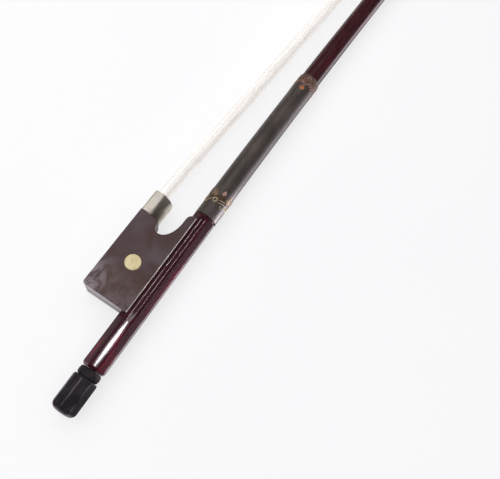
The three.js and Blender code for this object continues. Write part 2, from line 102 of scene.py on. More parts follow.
# Where the frog's painted glow of reflected light lies, in metres as the frame has them.
FROG_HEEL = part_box("frog_body")[0].x
FROG_MIDDLE = FROG_HEEL + 0.017
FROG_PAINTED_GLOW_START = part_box("pearl_eye_near")[0].y + 0.002

# The stick, in millimetres from its butt end.
CAMBER_START = 80.0
CAMBER_LENGTH = 625.0
CAMBER_BEND = 49.0
CAMBER_EASE = 14.0
HEAD_ROOT = PLATE_LOW.x - 3.2  # where the head grows out of the stick
HEAD_FACE = 20.0  # from the stick's axis to the wooden face under the plate
MORTISE_BACK, MORTISE_FRONT = HEAD_ROOT + 5, HEAD_ROOT + 14
MORTISE_FLOOR = 12.4
MORTISE_HALF = 3.2
TAPER_START = 110.0
HANDLE_FLATS = 8.8  # across the facets
ROUND_DIAMETER = 8.6
TIP_DIAMETER = 5.4
SCREW_BORE = 1.5  # radius
SEAM = 0.04  # space between glued faces
SLOT_LOW = (30.9, -3.1, -2.2)  # corners of the slot in which the eyelet slides
SLOT_HIGH = (43.6, 6.0, 2.2)


def axis_height(along):
    """How far the stick's axis has bent towards the hair at a distance from the butt end."""
    reach = max(0.0, along - CAMBER_START) / CAMBER_LENGTH
    return CAMBER_EASE * reach**3 - CAMBER_BEND * reach**2


def round_radius(along):
    """Radius of the round part of the stick."""
    reach = max(0.0, along - TAPER_START) / (HEAD_ROOT - TAPER_START)
    return (ROUND_DIAMETER - (ROUND_DIAMETER - TIP_DIAMETER) * reach**1.5) / 2


# ------------------------------------------------------------------ modelling helpers


def deselect():
    if bpy.context.mode != "OBJECT":
        bpy.ops.object.mode_set(mode="OBJECT")
    bpy.ops.object.select_all(action="DESELECT")


def pick(piece, *others):
    """Selects a piece, and any others, and makes the first one active."""
    deselect()
    for each in (piece, *others):
        each.select_set(True)
    bpy.context.view_layer.objects.active = piece


def apply_place(piece):
    """Moves a piece's place into its mesh and leaves its object at the origin."""
    pick(piece)
    bpy.ops.object.transform_apply(location=True, rotation=True, scale=True)


def face_out(piece):
    """Merges doubled vertices and turns every face outwards."""
    pick(piece)
    bpy.ops.object.mode_set(mode="EDIT")
    bpy.ops.mesh.select_all(action="SELECT")
    bpy.ops.mesh.remove_doubles(threshold=SAME_POINT)
    bpy.ops.mesh.normals_make_consistent(inside=False)
    bpy.ops.object.mode_set(mode="OBJECT")


def modify(piece, kind, **settings):
    """Adds a modifier with the given settings and applies it."""
    pick(piece)
    bpy.ops.object.modifier_add(type=kind)
    modifier = piece.modifiers[-1]
    for name, value in settings.items():
        setattr(modifier, name, value)
    bpy.ops.object.modifier_apply(modifier=modifier.name)


def round_edges(piece, width, segments=3, angle=30):
    """Rounds the edges sharper than an angle. The width is in millimetres."""
    modify(
        piece,
        "BEVEL",
        width=width * MM,
        segments=segments,
        limit_method="ANGLE",
        angle_limit=math.radians(angle),
        miter_outer="MITER_ARC",
        use_clamp_overlap=True,
    )


def smooth(piece, angle=32):
    """Smooth shading in which large flat faces stay flat up to their rounded edges."""
    pick(piece)
    bpy.ops.object.shade_smooth_by_angle(angle=math.radians(angle))
    modify(piece, "WEIGHTED_NORMAL", keep_sharp=True, weight=100)


def combine(piece, tool, operation="DIFFERENCE"):
    """Cuts a tool out of a piece, or joins it on, and removes the tool."""
    modify(piece, "BOOLEAN", object=tool, operation=operation, solver="EXACT")
    bpy.data.objects.remove(tool)


def join(name, pieces):
    """Makes one piece of several."""
    pick(*pieces)
    bpy.ops.object.join()
    joined = bpy.context.view_layer.objects.active
    joined.name = name
    return joined


def sweep(name, stations, sides, turn=0.0, filled=True):
    """A bar extruded station by station along X. A station is (along, across, radius)."""
    deselect()
    along, across, radius = stations[0]
    facing_x = Matrix.Rotation(turn, 3, "X") @ Matrix.Rotation(QUARTER, 3, "Y")
    bpy.ops.mesh.primitive_circle_add(
        vertices=sides,
        radius=radius * MM,
        fill_type="NGON" if filled else "NOTHING",
        location=place(along, across),
        rotation=facing_x.to_euler(),
    )
    bar = bpy.context.object
    bar.name = name
    bpy.ops.object.mode_set(mode="EDIT")
    bpy.ops.mesh.select_all(action="SELECT")
    for before, after in zip(stations, stations[1:]):
        here, there = place(*before[:2]), place(*after[:2])
        bpy.ops.mesh.extrude_region_move(TRANSFORM_OT_translate={"value": there - here})
        growth = after[2] / before[2]
        bpy.ops.transform.resize(value=(1, growth, growth), center_override=there)
    bpy.ops.object.mode_set(mode="OBJECT")
    apply_place(bar)
    face_out(bar)
    return bar


def box_tool(low, high):
    """A plain box between two corners, for cutting."""
    deselect()
    low, high = place(*low), place(*high)
    bpy.ops.mesh.primitive_cube_add(size=1, location=(low + high) / 2)
    tool = bpy.context.object
    tool.scale = high - low
    apply_place(tool)
    return tool


def rod_tool(axis, radius, start, length, sides=48):
    """A plain rod for cutting, from a start point along one axis."""
    deselect()
    direction = {"X": Vector((1, 0, 0)), "Y": Vector((0, 1, 0)), "Z": Vector((0, 0, 1))}[axis]
    bpy.ops.mesh.primitive_cylinder_add(
        vertices=sides,
        radius=radius * MM,
        depth=length * MM,
        location=place(*start) + direction * length * MM / 2,
        rotation=direction.to_track_quat("Z", "Y").to_euler(),
    )
    tool = bpy.context.object
    apply_place(tool)
    return tool


def bend(start, pull_a, pull_b, end, steps=14):
    """Points of one cubic curve, without its first point."""
    points = []
    for step in range(1, steps + 1):
        t = step / steps
        weights = ((1 - t) ** 3, 3 * t * (1 - t) ** 2, 3 * t * t * (1 - t), t**3)
        corners = (start, pull_a, pull_b, end)
        points.append(tuple(sum(w * c[k] for w, c in zip(weights, corners)) for k in (0, 1)))
    return points


def curve_piece(name, outlines, closed=True, **settings):
    """A mesh made from outlines in millimetres, through a curve with the given settings."""
    curve = bpy.data.curves.new(name, "CURVE")
    for setting, value in settings.items():
        setattr(curve, setting, value)
    for outline in outlines:
        spline = curve.splines.new("POLY")
        spline.points.add(len(outline) - 1)
        spline.use_cyclic_u = closed
        for point, (a, b) in zip(spline.points, outline):
            point.co = (a * MM, b * MM, 0, 1)
    piece = bpy.data.objects.new(name, curve)
    bpy.context.scene.collection.objects.link(piece)
    pick(piece)
    bpy.ops.object.convert(target="MESH")
    return bpy.context.object


def slab(name, outlines, start, thickness, rim, across_x=False):
    """A plate with rounded rims, from closed outlines, of which the later ones are holes.

    Its outlines lie in X-Y with the thickness along Z, or in Y-Z with the thickness along X.
    """
    plate = curve_piece(
        name,
        outlines,
        dimensions="2D",
        fill_mode="BOTH",
        extrude=(thickness / 2 - rim) * MM,
        bevel_depth=rim * MM,
        bevel_resolution=3,
        offset=-rim * MM,
    )
    middle = start + thickness / 2
    if across_x:
        turned = Matrix(((0, 0, 1), (1, 0, 0), (0, 1, 0))).to_4x4()
        plate.matrix_world = Matrix.Translation(place(middle)) @ turned
    else:
        plate.matrix_world = Matrix.Translation(place(0, 0, middle))
    apply_place(plate)
    face_out(plate)
    return plate


def reshape(piece, rule):
    """Moves every vertex by a rule on its millimetre position from the butt end."""
    for vertex in piece.data.vertices:
        vertex.co = place(*rule(*((vertex.co - HANDLE) / MM)))
    piece.data.update()


def copy_of(node, name):
    """A merged and cleaned copy of a CAD node's mesh, ready to be worked on."""
    source = frame["nodes"][node]
    piece = bpy.data.objects.new(name, source.data.copy())
    bpy.context.scene.collection.objects.link(piece)
    piece.data.materials.clear()
    pick(piece)
    bpy.ops.object.mode_set(mode="EDIT")
    bpy.ops.mesh.select_all(action="SELECT")
    bpy.ops.mesh.remove_doubles(threshold=SAME_POINT)
    bpy.ops.mesh.dissolve_limited(angle_limit=math.radians(1))
    bpy.ops.object.mode_set(mode="OBJECT")
    return piece


def eased_copy(node, name, rim):
    """A copy of a CAD node with its edges eased."""
    piece = copy_of(node, name)
    round_edges(piece, rim, segments=2)
    smooth(piece)
    return piece


def finish_piece(piece, body, slot, material, *nodes):
    """Gives a piece its material and its body, and hides the CAD nodes that it stands for. The slot is
    not used.
    """
    piece.data.materials.clear()
    piece.data.materials.append(material)
    if body:
        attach(piece, body)
    if nodes:
        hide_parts(*nodes)


def dress(node, material):
    """Gives a CAD node, which stays as it is, a finish of its own."""
    materials = frame["nodes"][node].data.materials
    materials.clear()
    materials.append(material)


# ------------------------------------------------------------------ materials


class Signal:
    """A number coming out of a node, so that shader maths reads as an expression."""

    def __init__(self, finish, socket):
        self.finish = finish
        self.socket = socket

    def combine(self, operation, first, second):
        node = self.finish.node("ShaderNodeMath", {"operation": operation}, {0: first, 1: second})
        return Signal(self.finish, node.outputs[0])

    def __add__(self, other):
        return self.combine("ADD", self, other)

    __radd__ = __add__

    def __mul__(self, other):
        return self.combine("MULTIPLY", self, other)

    __rmul__ = __mul__

    def __sub__(self, other):
        return self.combine("SUBTRACT", self, other)

    def __rsub__(self, other):
        return self.combine("SUBTRACT", other, self)

    def __pow__(self, other):
        return self.combine("POWER", self, other)

    def ramp(self, low, high):
        """0 below low, 1 above high, and a smooth climb between them."""
        settings = {"interpolation_type": "SMOOTHSTEP"}
        inputs = {0: self, 1: low, 2: high, 3: 0.0, 4: 1.0}
        node = self.finish.node("ShaderNodeMapRange", settings, inputs)
        return Signal(self.finish, node.outputs[0])


class Finish:
    """A material with one Principled shader, built from expressions."""

    def __init__(self, name, **constants):
        self.material = bpy.data.materials.new(name)
        self.material.use_nodes = True
        self.tree = self.material.node_tree
        self.shader = self.tree.nodes["Principled BSDF"]
        for socket, value in constants.items():
            self.shader.inputs[socket.replace("_", " ")].default_value = value
        coordinates = self.node("ShaderNodeTexCoord", {}, {})
        self.position = coordinates.outputs["Object"]

    def node(self, kind, settings, inputs):
        made = self.tree.nodes.new(kind)
        for name, value in settings.items():
            setattr(made, name, value)
        for key, value in inputs.items():
            if isinstance(value, Signal):
                value = value.socket
            if isinstance(value, bpy.types.NodeSocket):
                self.tree.links.new(value, made.inputs[key])
            else:
                made.inputs[key].default_value = value
        return made

    def mapped(self, stretch=(1, 1, 1)):
        """Object coordinates, with each axis stretched."""
        node = self.node("ShaderNodeMapping", {}, {"Vector": self.position, "Scale": stretch})
        return node.outputs[0]

    def axis(self, index):
        node = self.node("ShaderNodeSeparateXYZ", {}, {0: self.position})
        return Signal(self, node.outputs[index])

    def noise(self, scale, stretch=(1, 1, 1), detail=4.0, roughness=0.55, distortion=0.0):
        inputs = {
            "Vector": self.mapped(stretch),
            "Scale": scale,
            "Detail": detail,
            "Roughness": roughness,
            "Distortion": distortion,
        }
        return Signal(self, self.node("ShaderNodeTexNoise", {}, inputs).outputs["Fac"])

    def cells(self, scale, stretch=(1, 1, 1)):
        inputs = {"Vector": self.mapped(stretch), "Scale": scale}
        node = self.node("ShaderNodeTexVoronoi", {"feature": "F1"}, inputs)
        return Signal(self, node.outputs["Distance"])

    def blend(self, factor, first, second):
        """A colour between two colours, each a tuple or the result of another blend."""
        node = self.node("ShaderNodeMix", {"data_type": "RGBA"}, {"Factor": factor})
        for index, colour in ((6, first), (7, second)):
            if isinstance(colour, bpy.types.NodeSocket):
                self.tree.links.new(colour, node.inputs[index])
            else:
                node.inputs[index].default_value = (*colour, 1.0)
        return node.outputs[2]

    def feed(self, socket, value):
        value = value.socket if isinstance(value, Signal) else value
        self.tree.links.new(value, self.shader.inputs[socket])

    def let_light_through(self, colour, share):
        """Lets a share of the light pass through the surface, as it does through thin hair."""
        through = self.node("ShaderNodeBsdfTranslucent", {}, {"Color": colour})
        inputs = {0: share, 1: self.shader.outputs[0], 2: through.outputs[0]}
        mixed = self.node("ShaderNodeMixShader", {}, inputs)
        self.tree.links.new(mixed.outputs[0], self.tree.nodes["Material Output"].inputs["Surface"])

    def bump(self, height, distance, strength=1.0):
        inputs = {"Height": height, "Distance": distance * MM, "Strength": strength}
        self.feed("Normal", self.node("ShaderNodeBump", {}, inputs).outputs[0])


def linear(red, green, blue):
    """A colour as it looks on screen, from 0 to 255, as linear light."""
    values = (channel / 255 for channel in (red, green, blue))
    return tuple(v / 12.92 if v <= 0.04045 else ((v + 0.055) / 1.055) ** 2.4 for v in values)


def stick_varnish(sizes):
    """Dark red varnish over a straight, fine grain, with brighter red streaks in the handle."""
    f = Finish("stick_varnish", Specular_IOR_Level=0.04, Coat_Roughness=0.02)
    streaks = f.noise(1.0, (30, 420, 420), detail=5, roughness=0.6)
    fine = f.noise(1.0, (160, 2600, 2600), detail=3)
    patches = f.noise(1.0, (45, 160, 160), detail=2)
    pores = f.noise(1.0, (420, 3400, 3400), detail=2)
    handle = 1.0 - f.axis(0).ramp(HANDLE.x + 0.06, HANDLE.x + 0.16)
    red = streaks.ramp(0.5, 0.66) * patches.ramp(0.4, 0.64) * (handle * 0.6 + 0.25)
    tone = f.blend(handle, tuple(sizes.stick_colour), linear(60, 20, 31))
    dark = f.blend(fine.ramp(0.3, 0.75), linear(46, 20, 25), tone)
    f.feed("Base Color", f.blend(red, dark, linear(126, 16, 46)))
    f.feed("Roughness", 0.3 + fine * 0.14)
    f.feed("Coat Weight", 0.36 - pores.ramp(0.5, 0.64) * 0.16)
    f.bump(fine * 0.5 + streaks * 0.3 + pores * 0.4, 0.011)
    return f.material


def frog_wood(sizes):
    """Dense dark wood with a soft, painted grey-lilac glow of reflected light over pale wisps at the
    heel's hair side, faint clouds and fine pores.
    """
    f = Finish("frog_wood", Specular_IOR_Level=0.3, Coat_Weight=0.06, Coat_Roughness=0.2)
    clouds = f.noise(1.0, (60, 75, 75), detail=1.5, distortion=0.8)
    wisps = f.noise(1.0, (150, 240, 240), detail=3, distortion=1.4)
    pores = f.noise(1.0, (900, 3200, 3200), detail=2)
    heel = 1.0 - f.axis(0).ramp(FROG_HEEL, FROG_MIDDLE)
    hair_side = f.axis(1).ramp(FROG_PAINTED_GLOW_START, FROG_PAINTED_GLOW_START + 0.014)
    base = f.blend(clouds.ramp(0.35, 0.65), linear(68, 44, 38), tuple(sizes.frog_colour))
    # Painted glow of reflected light, strongest at the heel on the hair side, over the wood's own pale
    # wisps and clouds.
    wisps_and_painted_glow = wisps.ramp(0.34, 0.64) * heel * (0.2 + hair_side * 0.75) + clouds.ramp(0.4, 0.7) * 0.1
    base = f.blend(wisps_and_painted_glow, base, linear(152, 142, 150))
    f.feed("Base Color", f.blend(pores.ramp(0.62, 0.8) * 0.3, base, linear(30, 22, 20)))
    f.feed("Roughness", 0.34 + wisps * 0.18)
    f.bump(pores * 0.5 + wisps * 0.5, 0.008)
    return f.material


def black_satin():
    """Black wood with a painted highlight, in patches, along the facet edges, which lie farthest from
    the axis.
    """
    f = Finish("black_satin", Specular_IOR_Level=0.03)
    across, up = f.axis(1) - HANDLE.y, f.axis(2) - HANDLE.z
    # The facet edges get a painted highlight where a glint of light would catch them.
    glint_from, glint_to = 4.83 * MM, 4.93 * MM
    edge = ((across * across + up * up) ** 0.5).ramp(glint_from, glint_to)
    wear = f.noise(1.0, (260, 500, 500), detail=4)
    dust = f.noise(1.0, (2400, 2400, 2400), detail=2)
    base = f.blend(wear.ramp(0.35, 0.75), linear(37, 33, 36), linear(52, 47, 51))
    # Painted highlight along the facet edges, patchy with the wear noise, over the wood's own tone.
    f.feed("Base Color", f.blend(edge * wear.ramp(0.35, 0.6) * 0.5, base, linear(120, 113, 119)))
    f.feed("Roughness", 0.42 + wear * 0.2)
    f.bump(dust, 0.006)
    return f.material


def metal(name, bright, dull, roughness):
    """A polished metal with a brushed direction and a little tarnish."""
    f = Finish(name, Metallic=1.0)
    brush = f.noise(1.0, (300, 300, 2400), detail=3)
    tarnish = f.noise(1.0, (240, 300, 300), detail=4, distortion=0.4)
    f.feed("Base Color", f.blend(tarnish.ramp(0.45, 0.8), bright, dull))
    f.feed("Roughness", roughness + brush * 0.1 + tarnish.ramp(0.5, 0.8) * 0.12)
    f.bump(brush, 0.004)
    return f.material


def nickel():
    """The ferrule's and the lining's metal, made once."""
    known = bpy.data.materials.get("nickel_silver")
    return known or metal("nickel_silver", linear(240, 234, 221), linear(214, 204, 184), 0.42)


def pale_lip_metal():
    """Near-white metal, only partly metallic, which looks bright under the light from above."""
    f = Finish("pale_lip_metal", Metallic=0.3)
    mottle = f.noise(1.0, (300, 3000, 3000), detail=3)
    f.feed("Base Color", f.blend(mottle.ramp(0.35, 0.7), linear(246, 240, 236), linear(206, 198, 194)))
    f.feed("Roughness", 0.35 + mottle * 0.2)
    f.bump(mottle, 0.004)
    return f.material


def pearl(name, light, deep):
    """Shell with soft bands and patches that shade into one another."""
    f = Finish(name, Coat_Weight=0.5, Coat_Roughness=0.08, Roughness=0.3, IOR=1.55)
    waves = f.noise(1.0, (260, 380, 700), detail=3, distortion=1.6)
    patches = f.cells(420, (1, 1.4, 1))
    base = f.blend(waves.ramp(0.3, 0.7), light, deep)
    f.feed("Base Color", f.blend(patches.ramp(0.1, 0.9) * 0.35, base, linear(232, 222, 190)))
    f.bump(waves, 0.01)
    return f.material


def grip_leather(sizes):
    """Smooth dark leather with a fine grain and faint wear."""
    f = Finish("grip_leather", Specular_IOR_Level=0.3, Coat_Weight=0.1, Coat_Roughness=0.22)
    grain = f.cells(2600)
    wear = f.noise(1.0, (90, 260, 260), detail=4)
    base = f.blend(wear.ramp(0.3, 0.75), linear(60, 53, 49), tuple(sizes.grip_colour))
    f.feed("Base Color", f.blend(grain.ramp(0.45, 0.8) * 0.35, base, linear(38, 34, 32)))
    f.feed("Roughness", 0.4 + wear * 0.14)
    f.bump(grain, 0.008, 0.5)
    return f.material


def foil(name, light, deep):
    """Thin printed foil, worn unevenly."""
    f = Finish(name, Metallic=0.15, Specular_IOR_Level=0.2)
    worn = f.noise(1.0, (900, 900, 900), detail=3)
    f.feed("Base Color", f.blend(worn.ramp(0.35, 0.7), light, deep))
    f.feed("Roughness", 0.34 + worn * 0.3)
    f.bump(worn, 0.01)
    return f.material


def plain_wood(name, light, deep):
    """Bare wood with a straight grain."""
    f = Finish(name, IOR=1.45)
    rings = f.noise(1.0, (120, 900, 900), detail=5, distortion=0.3)
    f.feed("Base Color", f.blend(rings.ramp(0.3, 0.7), light, deep))
    f.feed("Roughness", 0.5 + rings * 0.25)
    f.bump(rings, 0.02)
    return f.material


def ebony():
    """The dark wood under the pearl slide and the face plate, made once."""
    known = bpy.data.materials.get("ebony")
    return known or plain_wood("ebony", linear(40, 33, 29), linear(24, 19, 17))


def bone():
    f = Finish("tip_bone", Coat_Weight=0.3, Coat_Roughness=0.15)
    lines = f.noise(1.0, (200, 200, 1500), detail=4)
    f.feed("Base Color", f.blend(lines.ramp(0.35, 0.75), linear(236, 229, 212), linear(214, 202, 176)))
    f.feed("Roughness", 0.3 + lines * 0.15)
    f.bump(lines, 0.006)
    return f.material


def horsehair(sizes):
    """Pale translucent hair whose tone changes from strand to strand and slowly along its length, with
    a painted glow of its own that keeps its shaded side bright.
    """
    f = Finish("horsehair", Specular_IOR_Level=0.3, Emission_Strength=0.36)
    strands = f.noise(1.0, (8, 2200, 2200), detail=2)
    length = f.noise(1.0, (40, 200, 200), detail=2)
    base = f.blend(strands.ramp(0.3, 0.72), linear(233, 231, 229), tuple(sizes.hair_colour))
    base = f.blend(length.ramp(0.45, 0.8) * 0.4, base, linear(240, 238, 235))
    f.feed("Base Color", base)
    # Painted glow: the hair gives off light in its own colour, though it is no lamp.
    f.feed("Emission Color", base)
    f.feed("Roughness", 0.42 + strands * 0.2)
    f.bump(strands, 0.006)
    f.let_light_through(base, 0.4)
    return f.material


def thread():
    f = Finish("binding_thread")
    turns = f.noise(1.0, (1500, 1500, 5200), detail=3)
    f.feed("Base Color", f.blend(turns.ramp(0.35, 0.7), linear(158, 44, 40), linear(204, 78, 66)))
    f.feed("Roughness", 0.6 + turns * 0.25)
    f.bump(turns, 0.03)
    return f.material


# ------------------------------------------------------------------ sizes and colours to change


class BowSizes(bpy.types.PropertyGroup):
    """What a user may change about the bow's looks."""

    facet_rim: FloatProperty(
        name="Facet rim",
        description="Rounding of the stick's and button's facet edges, in millimetres",
        default=0.28,
        min=0.05,
        max=0.6,
    )
    frog_rim: FloatProperty(
        name="Frog rim",
        description="Rounding of the frog's edges, in millimetres",
        default=0.32,
        min=0.05,
        max=0.8,
    )
    hair_count: IntProperty(
        name="Hairs", description="Number of hairs in the ribbon", default=210, min=40, max=260
    )
    hair_thickness: FloatProperty(
        name="Hair thickness",
        description="Diameter of one hair",
        default=0.26 * MM,
        unit="LENGTH",
        precision=5,
    )
    stick_colour: FloatVectorProperty(
        name="Stick", description="Varnish of the stick", subtype="COLOR", default=linear(72, 38, 42)
    )
    frog_colour: FloatVectorProperty(
        name="Frog", description="Wood of the frog", subtype="COLOR", default=linear(67, 49, 52)
    )
    grip_colour: FloatVectorProperty(
        name="Grip", description="Leather of the grip", subtype="COLOR", default=linear(82, 72, 69)
    )
    hair_colour: FloatVectorProperty(
        name="Hair", description="Main tone of the hair", subtype="COLOR", default=linear(244, 242, 241)
    )


# ------------------------------------------------------------------ stick


class MakeStick(bpy.types.Operator):
    """Octagonal handle, round tapered shaft and hatchet head, in one piece"""

    bl_idname = "bow.make_stick"
    bl_label = "Stick"
    bl_options = {"REGISTER", "UNDO"}

    def execute(self, context):
        sizes = context.scene.bow_sizes
        corner = HANDLE_FLATS / 2 / math.cos(EIGHTH)
        facets_end = GRIP_LOW.x - 0.9
        handle = sweep(
            "stick",
            [
                (0, 0, corner * 0.86),
                (0.9, 0, corner),
                (facets_end, 0, corner),
                (GRIP_LOW.x - 0.1, 0, corner * 0.93),
            ],
            8,
            EIGHTH,
        )
        round_edges(handle, sizes.facet_rim)
        combine(handle, self.shaft(), "UNION")
        combine(handle, self.head(), "UNION")
        combine(handle, rod_tool("X", SCREW_BORE, (-1, 0, 0), SCREW_HIGH.x + 2))
        combine(handle, box_tool(SLOT_LOW, SLOT_HIGH))
        smooth(handle, 28)
        finish_piece(handle, "stick", "stick_wood", stick_varnish(sizes), *STICK_NODES)
        return {"FINISHED"}

    def shaft(self):
        """The round, tapered, cambered shaft, which ends inside the head's root."""
        start, end = GRIP_LOW.x - 0.6, HEAD_ROOT - 19
        count = 46
        stations = [(start, axis_height(start), round_radius(start))]
        for step in range(1, count + 1):
            along = start + (end - start) * step / count
            stations.append((along, axis_height(along), round_radius(along)))
        return sweep("shaft", stations, 48)

    def head(self):
        """The head's CAD shape with melted corners, eased into the round shaft at its root."""
        head = copy_of("stick_head", "head")
        foot = axis_height(HEAD_ROOT)
        floor, half, spare = foot + MORTISE_FLOOR, MORTISE_HALF, 0.1
        filling = box_tool(
            (MORTISE_BACK - spare, floor - spare, -half - spare / 2),
            (MORTISE_FRONT + spare, foot + HEAD_FACE, half + spare / 2),
        )
        combine(head, filling, "UNION")
        modify(head, "REMESH", mode="VOXEL", voxel_size=0.24 * MM)
        modify(head, "SMOOTH", factor=0.5, iterations=18)

        blend_end, blend_length = HEAD_ROOT - 3, 14
        proud = 0.012  # keeps the head's skin just outside the shaft's
        inside = 0.8  # share of the radius within which nothing is moved

        def rooted(x, y, z):
            middle = axis_height(x)
            radius = math.hypot(y - middle, z)
            target = round_radius(x) + proud
            share = max(0.0, min(1.0, (blend_end - x) / blend_length))
            share *= share * (3 - 2 * share)
            if radius < inside * target or share == 0:
                return x, y, z
            growth = 1 + (target / radius - 1) * share
            return x, middle + (y - middle) * growth, z * growth

        reshape(head, rooted)
        mortise = box_tool((MORTISE_BACK, floor, -half), (MORTISE_FRONT, foot + HEAD_FACE + 4, half))
        combine(head, mortise)
        return head


# ------------------------------------------------------------------ grip


class MakeGrip(bpy.types.Operator):
    """Thin sleeve round the stick, in front of the frog"""

    bl_idname = "bow.make_grip"
    bl_label = "Grip sleeve"
    bl_options = {"REGISTER", "UNDO"}

    def execute(self, context):
        sleeve = sweep("grip_sleeve", grip_stations(18), 64, filled=False)
        modify(sleeve, "SOLIDIFY", thickness=0.34 * MM, offset=-1.0)
        round_edges(sleeve, 0.14, 3, 60)
        smooth(sleeve, 40)
        material = grip_leather(context.scene.bow_sizes)
        finish_piece(sleeve, "stick", "grip", material, "grip_sleeve")
        return {"FINISHED"}


def grip_radius(along):
    """Radius of the grip's outer skin."""
    return round_radius(along) + 0.4


def grip_stations(count):
    """Stations along the grip's outer skin, for a sweep."""
    stations = []
    for step in range(count + 1):
        along = GRIP_LOW.x + (GRIP_HIGH.x - GRIP_LOW.x) * step / count
        stations.append((along, axis_height(along), grip_radius(along)))
    return stations


REAR_RING_OFFSET = 0.85  # where the first ring lies round the grip, in millimetres
FRONT_SPOT_OFFSET = 0.3  # where the first spot lies


def wrapped(piece, start, towards):
    """Bends a flat border, drawn with X along the bow and Y round it, on to the grip."""

    def rule(x, y, z):
        along = start + towards * x
        angle = y / grip_radius(along)
        radius = grip_radius(along) + z
        return along, axis_height(along) + radius * math.sin(angle), radius * math.cos(angle)

    reshape(piece, rule)
    face_out(piece)


def stroke(name, points, width):
    """A thin round line through points in millimetres."""
    settings = {"dimensions": "3D", "bevel_depth": width / 2 * MM, "bevel_resolution": 2}
    line = curve_piece(name, [points], closed=False, **settings)
    line.location = HANDLE
    apply_place(line)
    return line


def circle_points(x, y, radius, start=0.0, turn=math.tau, steps=18):
    """Points along a circle, or along a part of one."""
    angles = [start + turn * i / steps for i in range(steps + 1)]
    return [(x + radius * math.cos(angle), y + radius * math.sin(angle)) for angle in angles]


